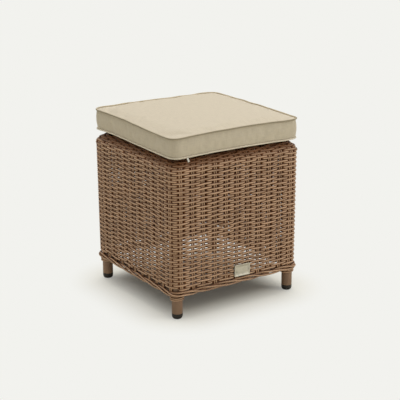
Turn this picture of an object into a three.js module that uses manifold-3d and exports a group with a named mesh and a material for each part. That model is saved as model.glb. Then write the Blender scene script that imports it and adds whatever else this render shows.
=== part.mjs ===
// Outdoor ottoman footstool: a tube frame under a woven wicker body, with a loose box cushion on top.
// Millimetres, +Z up, origin on the floor under the middle, front towards -Y.
import * as THREE from 'three';
import { mergeVertices } from 'three/addons/utils/BufferGeometryUtils.js';
import Module from 'manifold-3d';

const wasm = await Module();
wasm.setup();

// Fits
const GAP = 0.3; // clearance between pieces that touch
const OVERRUN = 5; // how far a cutter passes the face it cuts

// Frame of round tubes
const LEG_DIAMETER = 28;
const LEG_WALL = 1.5;
const RAIL_DIAMETER = 19;
const RAIL_WALL = 1.2;
const BOTTOM_RAIL_DROP = 6; // from the top of the border to the middle of the bottom rails
const BAR_DIAMETER = 16;
const BAR_WALL = 1.2;
const BAR_COUNT = 3;
const TUBE_SIDES = 24;

// Woven body
const BODY_WIDTH = 400; // outside, where the wall starts to swell
const BODY_TOP = 416;
const WALL_TAPER = 1.5; // how far each side leans out on its way up
const WALL_DEPTH = 7.5; // of the weave at its lower edge
const WALL_CORNER = 28.5; // plan radius of the outer corners
const SHOULDER_SWELL = 1; // how far the wall swells out below the shoulder
const SHOULDER_LEAD = 10; // height over which it swells
const SHOULDER_WIDTH = 26; // how far the shoulder turns in
const SHOULDER_RISE = 20;
const SHOULDER_CORNER = 24; // plan radius where the shoulder meets the top
const SHOULDER_FLAT = 8; // level edge between the shoulder and the woven seat
const SHOULDER_STEPS = 4;
const STAKE_PAIRS = 45; // upright pairs that the strand goes over and under
const STAKE_OFFSET = 4.2; // from the left end of the front's flat back to the middle of its first pair
const ROW_RISE = 11.7; // two courses of the strand, drawn as one row of the relief
const RELIEF = 4.2; // how far the strand goes back behind a pair
const CORNER_RELIEF = 2; // less where it passes the legs
const LEG_NEST = 0.5; // clearance of the wall's inner corners round the legs
const SEAT_DROP = 11; // from the top of the body down to the frame that carries the seat
const SEAT_CORNER = 12;
const SEAT_THICKNESS = 9;

// Twisted border
const BORDER_BOTTOM = 62.4;
const BORDER_HEIGHT = 15.6;
const BORDER_DEPTH = 9.6;
const BORDER_SIDES = 8;

// Strand wound round each leg under the border
const STRAND = 4.2;
const COLLAR_TURNS = 2;
const COLLAR_PITCH = 4.8;
const COLLAR_STEPS = 18; // per turn
const COLLAR_SIDES = 6;

// Foot cap
const CAP_FLAT = 17; // diameter of the face that meets the floor
const CAP_HEIGHT = 14;
const CAP_ROUND = 9; // height of the rounded edge
const CAP_ROUND_STEPS = 4;
const CAP_SIDES = 20;
const SPIGOT_LENGTH = 18;
const SPIGOT_WALL = 2;
const BARB_DEPTH = 0.8; // of the rings round the spigot that grip the tube
const BARB_HEIGHT = 2.4;
const BARB_COUNT = 3;

// Plate on the front
const PLATE_WIDTH = 49;
const PLATE_HEIGHT = 32;
const PLATE_THICKNESS = 2.4;
const PLATE_CORNER = 2;
const PLATE_RIM = 2.2;
const PLATE_RECESS = 0.6;
const PLATE_OFFSET = 10.7; // centre to the right of the middle
const PLATE_RISE = 20; // centre above the border
const PLATE_TILT = THREE.MathUtils.degToRad(1.5);

// Cushion
const CUSHION_SETBACK = 4.5; // how far the seams stand back from the sides of the body
const CUSHION_BULGE = 4.5; // how far the boxing swells past the seams
const CUSHION_CORNER = 24;
const CUSHION_DRAW = 2.5; // how far the sides pull in between the corners
const SEAM_LIFT = 9.9; // how far the lower seam stands above the flat that lies on the body
const BOXING_HEIGHT = 52.8; // between the seams
const CROWN = 6.5; // rise of the top panel above its seam
const COVER_CLOTH = 1.2;
const FOAM_SIDE_EASE = 2.5; // space between the foam's sides and the boxing
const FOAM_EASE = 0.9; // space between the foam and the panels above and below it
const CUSHION_SIDE_STEPS = 4;
const CUSHION_CORNER_STEPS = 4;
const PIPING = 4;
const PIPING_SIDES = 6;
const PIPING_ANGLE = THREE.MathUtils.degToRad(35); // from the seam out to the cord, away from the boxing

// Tag in the lower seam
const TAG_WIDTH = 5;
const TAG_LENGTH = 11;
const TAG_THICKNESS = 0.6;
const TAG_SETBACK = 38.5; // from the left end of the seam
const TAG_SLANT = THREE.MathUtils.degToRad(18);
const TAG_LEAN = THREE.MathUtils.degToRad(6);

// Zip in the rear boxing
const ZIP_MARGIN = 55.5; // from each end of the seam to the zip
const ZIP_CHAIN = 6; // width of the closed chain
const ZIP_DEPTH = 3.2;
const SLIDER_LENGTH = 10;
const SLIDER_NOSE = 8;
const SLIDER_TAIL = 6;
const SLIDER_THICKNESS = 1.5;
const BRIDGE_LENGTH = 8;
const BRIDGE_WALL = 1.3;
const BRIDGE_WIDTH = 1.6;
const BRIDGE_RISE = 2.4; // clear height under the bridge
const PULL_LENGTH = 24;
const PULL_WIDTH = 7;
const PULL_THICKNESS = 1.2;
const PULL_EYE = 5.4; // clear length of the eye behind the pivot bar
const PULL_ARM = 1.4;
const PIVOT_BAR = 1.4;

// Values that follow from these
const legRadius = LEG_DIAMETER / 2;
const railRadius = RAIL_DIAMETER / 2;
const barRadius = BAR_DIAMETER / 2;
const upperHalf = BODY_WIDTH / 2;
const lowerHalf = upperHalf - WALL_TAPER;
const innerHalf = lowerHalf - WALL_DEPTH;
const innerCorner = legRadius + LEG_NEST;
const legCentre = innerHalf - innerCorner;
const railCentre = legCentre + legRadius - railRadius; // rails lie flush with the legs' outer faces
const barPitch = 2 * legCentre / (BAR_COUNT + 1);
const borderTop = BORDER_BOTTOM + BORDER_HEIGHT;
const wallBottom = borderTop + GAP;
const bottomRailHeight = borderTop - BOTTOM_RAIL_DROP;
const shoulderFoot = BODY_TOP - SHOULDER_RISE;
const shoulderStart = shoulderFoot - SHOULDER_LEAD;
const shoulderHalf = upperHalf + SHOULDER_SWELL;
const restHalf = shoulderHalf - SHOULDER_WIDTH; // the cushion lies on the body from here inwards
const seatHalf = restHalf - SHOULDER_FLAT;
const frameTop = BODY_TOP - SEAT_DROP;
const topRailHeight = frameTop - railRadius;
const seamHalf = upperHalf - CUSHION_SETBACK;
const cushionBase = BODY_TOP + GAP;
const lowerSeam = cushionBase + SEAM_LIFT;
const upperSeam = lowerSeam + BOXING_HEIGHT;
const boxingMiddle = (lowerSeam + upperSeam) / 2;
const zipLength = 2 * (seamHalf - ZIP_MARGIN);
const zipInner = seamHalf + CUSHION_BULGE - CUSHION_DRAW - COVER_CLOTH;
const zipOuter = zipInner + ZIP_DEPTH;

const POWDER_COAT = { color: 0x5a4233, roughness: 0.45, metalness: 0.3 };
const WICKER = { color: 0x8a6d52, roughness: 0.6, metalness: 0 };
const CLOTH = { color: 0xc9bfa6, roughness: 0.95, metalness: 0 };

const part = new THREE.Group();

function addMesh(parent, name, geometry, finish) {
  const mesh = new THREE.Mesh(geometry, new THREE.MeshStandardMaterial(finish));
  mesh.name = name;
  parent.add(mesh);
  return mesh;
}

// A solid ready for cutting and joining, from a closed geometry.
function solid(geometry) {
  const bare = geometry.clone();
  bare.deleteAttribute('normal');
  bare.deleteAttribute('uv');
  const merged = mergeVertices(bare);
  return new wasm.Manifold(new wasm.Mesh({
    numProp: 3,
    vertProperties: new Float32Array(merged.attributes.position.array),
    triVerts: new Uint32Array(merged.index.array),
  }));
}

function fromSolid(body) {
  const mesh = body.getMesh();
  const geometry = new THREE.BufferGeometry();
  geometry.setAttribute('position', new THREE.BufferAttribute(new Float32Array(mesh.vertProperties), 3));
  geometry.setIndex(new THREE.BufferAttribute(new Uint32Array(mesh.triVerts), 1));
  geometry.computeVertexNormals();
  return geometry;
}

// Skin through a list of rings with as many points each. The ends are capped by a fan, or the last ring
// joins the first. Rings run anticlockwise as seen from the side that the list runs towards.
function loft(rings, joined = false) {
  const size = rings[0].length;
  const points = rings.flat();
  const faces = [];
  const bands = joined ? rings.length : rings.length - 1;
  for (let band = 0; band < bands; band++) {
    const low = band * size;
    const high = ((band + 1) % rings.length) * size;
    for (let step = 0; step < size; step++) {
      const next = (step + 1) % size;
      faces.push(low + step, low + next, high + next, low + step, high + next, high + step);
    }
  }
  if (!joined) {
    for (const [ring, turned] of [[rings[0], true], [rings[rings.length - 1], false]]) {
      const centre = new THREE.Vector3();
      ring.forEach((point) => centre.add(point));
      points.push(centre.divideScalar(size));
      const start = turned ? 0 : (rings.length - 1) * size;
      for (let step = 0; step < size; step++) {
        const next = (step + 1) % size;
        const edge = turned ? [start + next, start + step] : [start + step, start + next];
        faces.push(points.length - 1, ...edge);
      }
    }
  }
  const geometry = new THREE.BufferGeometry().setFromPoints(points);
  geometry.setIndex(faces);
  geometry.computeVertexNormals();
  return geometry;
}

// A level rounded square, anticlockwise from above, its sides drawn in between the corners.
function squareRing(half, corner, z, draw = 0, sideSteps = 1, cornerSteps = 5) {
  const straight = half - corner;
  const side = [];
  for (let step = 0; step <= sideSteps; step++) {
    const share = 2 * step / sideSteps - 1;
    side.push([share * straight, -half + draw * (1 - share * share)]);
  }
  for (let step = 1; step < cornerSteps; step++) {
    const angle = Math.PI / 2 * step / cornerSteps;
    side.push([straight + corner * Math.sin(angle), -straight - corner * Math.cos(angle)]);
  }
  const ring = [];
  for (let turn = 0; turn < 4; turn++) {
    const swing = Math.PI / 2 * turn;
    for (const [x, y] of side) {
      ring.push(new THREE.Vector3(x, y, z).applyAxisAngle(new THREE.Vector3(0, 0, 1), swing));
    }
  }
  return ring;
}

// A round tube along X, centred on the origin.
function tube(diameter, wall, length) {
  const section = new THREE.Shape().absarc(0, 0, diameter / 2, 0, 2 * Math.PI);
  section.holes.push(new THREE.Path().absarc(0, 0, diameter / 2 - wall, 0, 2 * Math.PI, true));
  const geometry = new THREE.ExtrudeGeometry(section, {
    depth: length, bevelEnabled: false, curveSegments: TUBE_SIDES / 2,
  });
  geometry.translate(0, 0, -length / 2);
  geometry.rotateY(Math.PI / 2);
  return geometry;
}

// A round bar along X that cuts a saddle in what meets it.
function copeCutter(diameter, length) {
  const geometry = new THREE.CylinderGeometry(diameter / 2 + GAP, diameter / 2 + GAP, length, TUBE_SIDES);
  return geometry.rotateZ(Math.PI / 2);
}

function turnedProfile(points, sides) {
  const geometry = new THREE.LatheGeometry(points.map(([r, z]) => new THREE.Vector2(r, z)), sides);
  return geometry.rotateX(Math.PI / 2);
}

const corners = [
  ['front_left', -1, -1],
  ['front_right', 1, -1],
  ['rear_right', 1, 1],
  ['rear_left', -1, 1],
];

function makeLeg() {
  const inner = legRadius - LEG_WALL;
  const bottom = CAP_HEIGHT + GAP;
  const profile = [
    [inner, bottom], [legRadius, bottom], [legRadius, frameTop], [inner, frameTop], [inner, bottom],
  ];
  return turnedProfile(profile, TUBE_SIDES);
}

// Black moulded cap: flat sole, rounded edge, and a hollow barbed spigot up into the tube.
function makeFootCap() {
  const flat = CAP_FLAT / 2;
  const profile = [[0, 0], [flat, 0]];
  for (let step = 1; step <= CAP_ROUND_STEPS; step++) {
    const angle = Math.PI / 2 * step / CAP_ROUND_STEPS;
    profile.push([flat + (legRadius - flat) * Math.sin(angle), CAP_ROUND * (1 - Math.cos(angle))]);
  }
  const edge = legRadius - LEG_WALL - GAP;
  const spigot = edge - BARB_DEPTH;
  const bore = spigot - SPIGOT_WALL;
  profile.push([legRadius, CAP_HEIGHT], [spigot, CAP_HEIGHT]);
  for (let barb = 1; barb <= BARB_COUNT; barb++) {
    const foot = CAP_HEIGHT + SPIGOT_LENGTH * barb / (BARB_COUNT + 1) - BARB_HEIGHT / 2;
    profile.push([spigot, foot], [edge, foot], [spigot, foot + BARB_HEIGHT]);
  }
  profile.push([spigot, CAP_HEIGHT + SPIGOT_LENGTH], [bore, CAP_HEIGHT + SPIGOT_LENGTH]);
  profile.push([bore, CAP_HEIGHT], [0, CAP_HEIGHT]);
  return turnedProfile(profile, CAP_SIDES);
}

// One unbroken strand wound round the leg, ending just under the border.
function makeCollar() {
  const radius = legRadius + GAP + STRAND / 2;
  const count = COLLAR_TURNS * COLLAR_STEPS;
  const top = BORDER_BOTTOM - GAP - STRAND / 2;
  const centres = [];
  const rings = [];
  for (let step = 0; step <= count; step++) {
    const angle = 2 * Math.PI * step / COLLAR_STEPS;
    const out = new THREE.Vector3(Math.cos(angle), Math.sin(angle), 0);
    const centre = out.clone().multiplyScalar(radius);
    centre.z = top - COLLAR_PITCH * (COLLAR_TURNS - step / COLLAR_STEPS);
    const ring = [];
    for (let side = 0; side < COLLAR_SIDES; side++) {
      const turn = 2 * Math.PI * side / COLLAR_SIDES;
      const offset = out.clone().multiplyScalar(Math.cos(turn) * STRAND / 2);
      offset.z = -Math.sin(turn) * STRAND / 2;
      ring.push(centre.clone().add(offset));
    }
    centres.push(centre);
    rings.push(ring);
  }
  let least = Infinity;
  for (let step = 0; step + COLLAR_STEPS <= count; step++) {
    least = Math.min(least, centres[step].distanceTo(centres[step + COLLAR_STEPS]) - STRAND);
  }
  console.log(`leg collar: least gap between turns ${least.toFixed(2)} mm`);
  return loft(rings);
}

function addLegs() {
  for (const [place, sideX, sideY] of corners) {
    const group = new THREE.Group();
    group.position.set(sideX * legCentre, sideY * legCentre, 0);
    part.add(group);
    addMesh(group, `leg_${place}`, makeLeg(), POWDER_COAT);
    addMesh(group, `foot_cap_${place}`, makeFootCap(), { color: 0x1c1a18, roughness: 0.5, metalness: 0 });
    addMesh(group, `leg_collar_${place}`, makeCollar(), WICKER);
  }
}

// A rail between two legs, its ends coped round them.
function makeRail() {
  let rail = solid(tube(RAIL_DIAMETER, RAIL_WALL, 2 * legCentre));
  const length = RAIL_DIAMETER + 2 * OVERRUN;
  for (const side of [-1, 1]) {
    const leg = copeCutter(LEG_DIAMETER, length);
    leg.rotateY(Math.PI / 2);
    leg.translate(side * legCentre, railCentre - legCentre, 0);
    rail = rail.subtract(solid(leg));
  }
  return fromSolid(rail);
}

function addRails() {
  const geometry = makeRail();
  const sides = [['front', 0], ['right', 1], ['rear', 2], ['left', 3]];
  for (const [level, height] of [['top', topRailHeight], ['bottom', bottomRailHeight]]) {
    for (const [place, turn] of sides) {
      const rail = addMesh(part, `${level}_rail_${place}`, geometry.clone(), POWDER_COAT);
      const swing = Math.PI / 2 * turn;
      rail.position.set(railCentre * Math.sin(swing), -railCentre * Math.cos(swing), height);
      rail.rotation.z = swing;
    }
  }
}

// Load-bearing bars across the top, coped on to the side rails.
function addSeatBars() {
  const height = frameTop - barRadius;
  let bar = solid(tube(BAR_DIAMETER, BAR_WALL, 2 * railCentre));
  for (const side of [-1, 1]) {
    const rail = copeCutter(RAIL_DIAMETER, BAR_DIAMETER + 2 * OVERRUN);
    rail.rotateZ(Math.PI / 2);
    rail.translate(side * railCentre, 0, topRailHeight - height);
    bar = bar.subtract(solid(rail));
  }
  const geometry = fromSolid(bar);
  for (let index = 0; index < BAR_COUNT; index++) {
    const mesh = addMesh(part, `seat_bar_${index + 1}`, geometry.clone(), POWDER_COAT);
    mesh.position.set(0, (index - (BAR_COUNT - 1) / 2) * barPitch, height);
  }
}

// A level rounded square with two points for each pair of stakes, spread evenly round the wall. Each point is
// set in by what setIn gives for its number and for whether it lies on a corner.
function weaveRing(half, corner, z, setIn) {
  const straight = 2 * (upperHalf - WALL_CORNER);
  const side = straight + Math.PI / 2 * WALL_CORNER;
  const count = 2 * STAKE_PAIRS;
  const ring = [];
  for (let step = 0; step < count; step++) {
    const reach = (4 * side * (step + count) / count - STAKE_OFFSET) % (4 * side);
    const turn = Math.floor(reach / side);
    const rest = reach - turn * side;
    const along = 2 * Math.min(rest, straight) / straight - 1;
    const angle = Math.max(0, rest - straight) / WALL_CORNER;
    const radius = corner - setIn(step, angle > 0);
    const x = along * (half - corner) + radius * Math.sin(angle);
    const y = corner - half - radius * Math.cos(angle);
    ring.push(new THREE.Vector3(x, y, z).applyAxisAngle(new THREE.Vector3(0, 0, 1), Math.PI / 2 * turn));
  }
  return ring;
}

// Outer skin of the side wall and shoulder. On the wall the strand stands out over every other pair and goes back
// behind the rest, and the next row the other way round. STAKE_PAIRS is odd, as one strand that climbs round and
// round needs it, so in these level rows it misses one change, at the rear left corner.
function wovenSkin() {
  const level = (step, onCorner) => (onCorner ? CORNER_RELIEF : RELIEF) / 2;
  const height = shoulderStart - wallBottom;
  const rows = Math.round(height / ROW_RISE);
  const rings = [weaveRing(lowerHalf, WALL_CORNER, wallBottom, level)];
  for (let row = 0; row < rows; row++) {
    const share = (row + 0.5) / rows;
    const swing = (step, onCorner) => {
      const behind = step % 2 === 1 ? 1 : 2 * ((row + step / 2) % 2);
      return behind * level(step, onCorner);
    };
    rings.push(weaveRing(lowerHalf + share * WALL_TAPER, WALL_CORNER, wallBottom + share * height, swing));
  }
  for (let step = 0; step <= SHOULDER_STEPS; step++) {
    const angle = Math.PI / 2 * step / SHOULDER_STEPS;
    const inset = SHOULDER_WIDTH * (1 - Math.cos(angle));
    const share = step / SHOULDER_STEPS;
    const corner = WALL_CORNER + share * (SHOULDER_CORNER - WALL_CORNER);
    const rise = shoulderFoot + SHOULDER_RISE * Math.sin(angle);
    rings.push(weaveRing(shoulderHalf - inset, corner, rise, () => 0));
  }
  return loft(rings);
}

// Side wall and shoulder in one: the skin, hollowed to clear the frame and open where the woven seat lies.
function makeWovenWall() {
  const hollow = loft([
    squareRing(innerHalf, innerCorner, wallBottom - OVERRUN),
    squareRing(innerHalf, innerCorner, frameTop + GAP),
  ]);
  const opening = loft([
    squareRing(seatHalf, SEAT_CORNER, frameTop - OVERRUN),
    squareRing(seatHalf, SEAT_CORNER, BODY_TOP + OVERRUN),
  ]);
  return fromSolid(solid(wovenSkin()).subtract(solid(hollow)).subtract(solid(opening)));
}

function makeWovenSeat() {
  const half = seatHalf - GAP;
  const bottom = frameTop + GAP;
  return loft([
    squareRing(half, SEAT_CORNER - GAP, bottom),
    squareRing(half, SEAT_CORNER - GAP, bottom + SEAT_THICKNESS),
  ]);
}

// Border rope: a flattened round section carried round under the wall's lower edge.
function makeBorder() {
  const rings = [];
  const middle = innerHalf + GAP + BORDER_DEPTH / 2;
  const centreHeight = BORDER_BOTTOM + BORDER_HEIGHT / 2;
  const flat = 1 / Math.cos(Math.PI / BORDER_SIDES);
  for (let step = 0; step < BORDER_SIDES; step++) {
    const angle = Math.PI * (2 * step + 1) / BORDER_SIDES;
    const out = flat * BORDER_DEPTH / 2 * Math.sin(angle);
    const up = -flat * BORDER_HEIGHT / 2 * Math.cos(angle);
    const corner = innerCorner + GAP + BORDER_DEPTH / 2 + out;
    rings.push(squareRing(middle + out, corner, centreHeight + up));
  }
  return loft(rings, true);
}

function addWovenBody() {
  addMesh(part, 'woven_wall', makeWovenWall(), WICKER);
  addMesh(part, 'woven_seat', makeWovenSeat(), WICKER);
  addMesh(part, 'border_braid', makeBorder(), WICKER);
}

function roundedPlate(width, height, corner) {
  const x = width / 2;
  const y = height / 2;
  const shape = new THREE.Shape();
  shape.moveTo(corner - x, -y);
  shape.lineTo(x - corner, -y);
  shape.absarc(x - corner, corner - y, corner, -Math.PI / 2, 0);
  shape.absarc(x - corner, y - corner, corner, 0, Math.PI / 2);
  shape.absarc(corner - x, y - corner, corner, Math.PI / 2, Math.PI);
  shape.absarc(corner - x, corner - y, corner, Math.PI, 3 * Math.PI / 2);
  return shape;
}

// Small metal plate with a raised rim round a bare field.
function addPlate() {
  const options = { depth: PLATE_THICKNESS, bevelEnabled: false, curveSegments: 4 };
  const blank = new THREE.ExtrudeGeometry(roundedPlate(PLATE_WIDTH, PLATE_HEIGHT, PLATE_CORNER), options);
  const rims = 2 * PLATE_RIM;
  const field = new THREE.BoxGeometry(PLATE_WIDTH - rims, PLATE_HEIGHT - rims, 2 * PLATE_RECESS);
  field.translate(0, 0, PLATE_THICKNESS);
  const geometry = fromSolid(solid(blank).subtract(solid(field)));
  geometry.rotateX(Math.PI / 2);
  const plate = addMesh(part, 'front_plate', geometry, { color: 0xc9c3b2, roughness: 0.35, metalness: 1 });
  const centre = borderTop + PLATE_RISE;
  const reach = centre + (PLATE_HEIGHT + PLATE_WIDTH * Math.sin(PLATE_TILT)) / 2;
  const share = (reach - wallBottom) / (shoulderStart - wallBottom);
  plate.position.set(PLATE_OFFSET, -lowerHalf - share * WALL_TAPER - GAP, centre);
  plate.rotation.y = PLATE_TILT;
}

// Heights and half widths of the cushion's outline, from the middle of its base to the middle of its top.
function cushionOutline() {
  const underShares = [[0, 0], [0.6, 0.33], [1, 1]];
  const boxingShares = [[0.16, 0.72], [0.38, 1], [0.62, 1], [0.84, 0.72], [1, 0]];
  const crownShares = [[0.965, 0.22], [0.89, 0.5], [0.74, 0.78], [0.5, 0.95], [0.2, 1]];
  const outline = [[restHalf / 2, cushionBase]];
  for (const [out, up] of underShares) {
    outline.push([restHalf + (seamHalf - restHalf) * out, cushionBase + SEAM_LIFT * up]);
  }
  for (const [up, out] of boxingShares) {
    outline.push([seamHalf + CUSHION_BULGE * out, lowerSeam + BOXING_HEIGHT * up]);
  }
  for (const [across, up] of crownShares) {
    outline.push([seamHalf * across, upperSeam + CROWN * up]);
  }
  return outline;
}

// The cushion's crowned form, shrunk at its sides and, top and bottom, by a depth.
function cushionForm(inset, depth) {
  const rings = cushionOutline().map(([out, z]) => {
    const share = out / seamHalf;
    const level = z + Math.max(-1, Math.min(1, 2 * (boxingMiddle - z) / BOXING_HEIGHT)) * depth;
    const reach = out - inset * Math.min(1, share);
    return squareRing(
      reach, CUSHION_CORNER * share - inset * share, level, CUSHION_DRAW * Math.min(1, share * share),
      CUSHION_SIDE_STEPS, CUSHION_CORNER_STEPS,
    );
  });
  return loft(rings);
}

function zipOpening() {
  const cutter = new THREE.BoxGeometry(zipLength + 2 * GAP, ZIP_DEPTH + 2 * OVERRUN, ZIP_CHAIN + 2 * GAP);
  return cutter.translate(0, (zipInner + zipOuter) / 2, boxingMiddle);
}

// Cord sewn round a seam, above the upper one (side 1) and below the lower one (side -1).
function makePiping(seam, side) {
  const radius = PIPING / 2;
  const reach = (radius + GAP) * Math.cos(PIPING_ANGLE);
  const height = seam + side * (radius + GAP) * Math.sin(PIPING_ANGLE);
  const rings = [];
  for (let step = 0; step < PIPING_SIDES; step++) {
    const angle = 2 * Math.PI * step / PIPING_SIDES;
    const out = reach + radius * Math.sin(angle);
    rings.push(squareRing(
      seamHalf + out, CUSHION_CORNER + out, height - radius * Math.cos(angle), CUSHION_DRAW,
      CUSHION_SIDE_STEPS, CUSHION_CORNER_STEPS,
    ));
  }
  return loft(rings, true);
}

function addCushion() {
  const shell = solid(cushionForm(0, 0)).subtract(solid(cushionForm(COVER_CLOTH, COVER_CLOTH)));
  addMesh(part, 'cushion_cover', fromSolid(shell.subtract(solid(zipOpening()))), CLOTH);
  const foam = cushionForm(COVER_CLOTH + FOAM_SIDE_EASE, COVER_CLOTH + FOAM_EASE);
  addMesh(part, 'foam_core', foam, { color: 0xe9dfae, roughness: 1, metalness: 0 });
  addMesh(part, 'piping_top', makePiping(upperSeam, 1), { ...CLOTH, color: 0xa2937a });
  addMesh(part, 'piping_bottom', makePiping(lowerSeam, -1), { ...CLOTH, color: 0xb9ac92 });
}

// White tag that hangs from the lower seam, over the shoulder.
function addTag() {
  const geometry = new THREE.BoxGeometry(TAG_WIDTH, TAG_THICKNESS, TAG_LENGTH);
  geometry.translate(0, 0, -TAG_LENGTH / 2);
  const tag = addMesh(part, 'seam_tag', geometry, { color: 0xf0eee6, roughness: 0.6, metalness: 0 });
  const face = seamHalf + (PIPING / 2 + GAP) * Math.cos(PIPING_ANGLE) + (PIPING + TAG_THICKNESS) / 2 + GAP;
  tag.position.set(TAG_SETBACK - seamHalf, -face, lowerSeam);
  tag.rotation.set(-TAG_LEAN, -TAG_SLANT, 0, 'XYZ');
}

function makeZipSlider() {
  const half = SLIDER_LENGTH / 2;
  const shape = new THREE.Shape();
  shape.moveTo(-half, -SLIDER_TAIL / 2);
  shape.lineTo(0, -SLIDER_TAIL / 2);
  shape.lineTo(half, -SLIDER_NOSE / 2);
  shape.lineTo(half, SLIDER_NOSE / 2);
  shape.lineTo(0, SLIDER_TAIL / 2);
  shape.lineTo(-half, SLIDER_TAIL / 2);
  const body = new THREE.ExtrudeGeometry(shape, { depth: SLIDER_THICKNESS, bevelEnabled: false });
  body.rotateX(-Math.PI / 2);
  const top = SLIDER_THICKNESS;
  const outer = new THREE.BoxGeometry(BRIDGE_LENGTH, BRIDGE_RISE + BRIDGE_WALL + top, BRIDGE_WIDTH);
  outer.translate(0, (BRIDGE_RISE + BRIDGE_WALL + top) / 2, 0);
  const inner = new THREE.BoxGeometry(BRIDGE_LENGTH - 2 * BRIDGE_WALL, BRIDGE_RISE, BRIDGE_WIDTH + OVERRUN);
  inner.translate(0, top + BRIDGE_RISE / 2, 0);
  return fromSolid(solid(body).add(solid(outer).subtract(solid(inner))));
}

// Pull: a pivot bar under the bridge, two arms and a long tongue.
function makeZipPull() {
  const bar = new THREE.CylinderGeometry(PIVOT_BAR / 2, PIVOT_BAR / 2, PULL_WIDTH, TUBE_SIDES);
  bar.rotateX(Math.PI / 2);
  const blade = new THREE.BoxGeometry(PULL_LENGTH, PULL_THICKNESS, PULL_WIDTH);
  blade.translate(-PULL_LENGTH / 2, 0, 0);
  const eye = new THREE.BoxGeometry(PULL_EYE + OVERRUN, PULL_THICKNESS + OVERRUN, PULL_WIDTH - 2 * PULL_ARM);
  eye.translate((OVERRUN - PULL_EYE) / 2, 0, 0);
  return fromSolid(solid(blade).subtract(solid(eye)).add(solid(bar)));
}

function addZip() {
  const metal = { color: 0x8d8a84, roughness: 0.35, metalness: 1 };
  const chain = new THREE.BoxGeometry(zipLength, ZIP_DEPTH, ZIP_CHAIN);
  chain.translate(0, (zipInner + zipOuter) / 2, boxingMiddle);
  addMesh(part, 'zip_chain', chain, { color: 0xb5a98f, roughness: 0.7, metalness: 0 });
  const slider = new THREE.Group();
  slider.position.set((SLIDER_LENGTH - zipLength) / 2, zipOuter + GAP, boxingMiddle);
  part.add(slider);
  addMesh(slider, 'zip_slider', makeZipSlider(), metal);
  const pull = addMesh(slider, 'zip_pull', makeZipPull(), metal);
  pull.position.y = SLIDER_THICKNESS + BRIDGE_RISE / 2;
}

addLegs();
addRails();
addSeatBars();
addWovenBody();
addPlate();
addCushion();
addTag();
addZip();

export default part;
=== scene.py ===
"""Outdoor ottoman footstool: a tube frame under a woven wicker body, with a loose box cushion on top."""

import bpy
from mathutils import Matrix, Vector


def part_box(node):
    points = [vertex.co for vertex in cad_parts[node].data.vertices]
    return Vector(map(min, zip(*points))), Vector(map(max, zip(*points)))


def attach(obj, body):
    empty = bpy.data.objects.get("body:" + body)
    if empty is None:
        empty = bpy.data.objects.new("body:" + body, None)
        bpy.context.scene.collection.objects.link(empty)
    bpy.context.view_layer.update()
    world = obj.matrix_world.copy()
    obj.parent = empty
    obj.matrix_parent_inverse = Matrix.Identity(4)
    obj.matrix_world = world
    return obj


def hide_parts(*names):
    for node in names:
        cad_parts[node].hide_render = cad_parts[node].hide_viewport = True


bl_info = {
    "name": "Woven Ottoman Footstool",
    "version": (1, 0, 0),
    "blender": (4, 5, 0),
    "location": "View3D > Sidebar > Ottoman",
    "description": "Builds a woven garden footstool with its box cushion",
    "category": "Object",
}

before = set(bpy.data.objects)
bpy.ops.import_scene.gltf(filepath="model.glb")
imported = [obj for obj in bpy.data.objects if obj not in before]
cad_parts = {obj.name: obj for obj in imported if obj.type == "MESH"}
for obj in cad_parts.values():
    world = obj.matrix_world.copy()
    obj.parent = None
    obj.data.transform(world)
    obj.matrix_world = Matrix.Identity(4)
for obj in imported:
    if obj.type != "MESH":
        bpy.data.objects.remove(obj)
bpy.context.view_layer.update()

import math
from functools import partial

import bpy
import numpy as np
from bpy.props import FloatProperty, FloatVectorProperty, IntProperty, PointerProperty
from mathutils import Euler, Matrix, Vector

MM = 0.001


def box_mm(node):
    """The lowest and highest corners of a CAD node, in millimetres."""
    return [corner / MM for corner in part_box(node)]


SEAT_LOW, SEAT_HIGH = box_mm("woven_seat")
BORDER_LOW, BORDER_HIGH = box_mm("border_braid")
LEG_LOW, LEG_HIGH = box_mm("leg_front_right")
CAP_HIGH = box_mm("foot_cap_front_right")[1]
PLATE_LOW, PLATE_HIGH = box_mm("front_plate")
CHAIN_LOW, CHAIN_HIGH = box_mm("zip_chain")
CORNERS = {"front_left": (-1, -1), "front_right": (1, -1), "rear_right": (1, 1), "rear_left": (-1, 1)}
SIDES = ("front", "right", "rear", "left")

# The frame's tubes, in millimetres.
LEG_PLACE = (LEG_LOW.x + LEG_HIGH.x) / 2
LEG_RADIUS = (LEG_HIGH.x - LEG_LOW.x) / 2
LEG_BORE = 12.5
TURNED_SIDES = 56

# The body's outline, in millimetres: half width and height at the wall's foot and top, then its shoulder.
WALL_FOOT = (198.5, box_mm("woven_wall")[0].z)
WALL_TOP = (200.0, 386.0)
WALL_CORNER = 28.5
WALL_ROUND = 8 * (WALL_TOP[0] - WALL_CORNER) + 2 * math.pi * WALL_CORNER
STAKE_OFFSET = 4.2
SHOULDER_HALF = 201.0
SHOULDER_FOOT = 390.0
SHOULDER_WIDTH = 32.0
SHOULDER_RISE = 25.0
SHOULDER_CORNER = 28.0
SHOULDER_EDGE = SEAT_HIGH.x + 0.6

# The cushion's outline, in millimetres.
SEAM_HALF = 195.5
SEAM_CORNER = 24.0
SEAM_DRAW = 2.5
LOWER_SEAM = 426.2
UPPER_SEAM = 479.0
CUSHION_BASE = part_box("cushion_cover")[0].z / MM
REST_HALF = 172.0

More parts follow.
